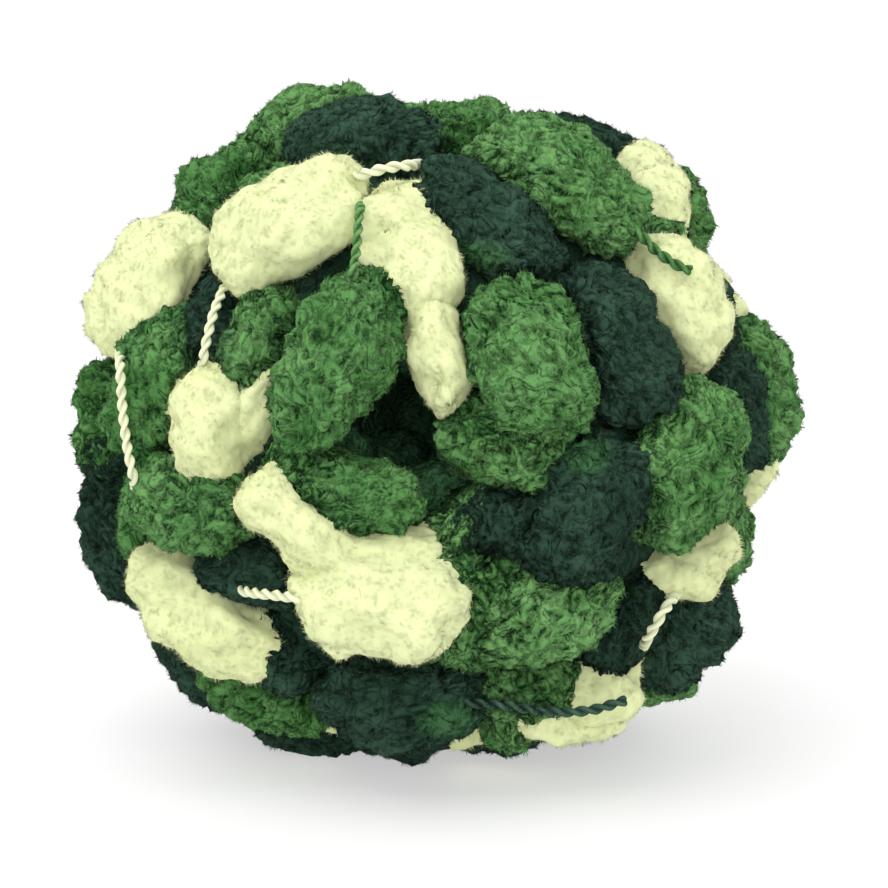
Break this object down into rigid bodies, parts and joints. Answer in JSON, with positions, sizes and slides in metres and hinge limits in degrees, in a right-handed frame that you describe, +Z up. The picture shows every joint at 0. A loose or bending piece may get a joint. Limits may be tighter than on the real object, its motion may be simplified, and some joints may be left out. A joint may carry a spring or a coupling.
{
  "type": "ball of pompom yarn",
  "caption": "A wound ball of pompom yarn: fat tufts of cream, green and dark green pile on a thin twisted cord, round an open hollow, with its cut ends lying on it",
  "frame": {"origin": "on the ground plane, under the middle of the ball's bounding box", "axes": "+Z up, the hollow of the ball opens to -Y, +X to the right as seen from the hollow's side; units metres"},
  "size_m": [0.1782, 0.1758, 0.164],
  "materials": {
    "yarn_green": "mid green pile in small curly tufts, dyed a little unevenly",
    "yarn_dark": "dark bottle green pile in small curly tufts",
    "yarn_cream": "soft cream pile with a faint lemon cast, its tips furry"
  },
  "bodies": {
    "root": {"wound_ball": "yarn_green", "loose_end_green": "yarn_green", "loose_end_dark": "yarn_dark"}
  },
  "joints": []
}
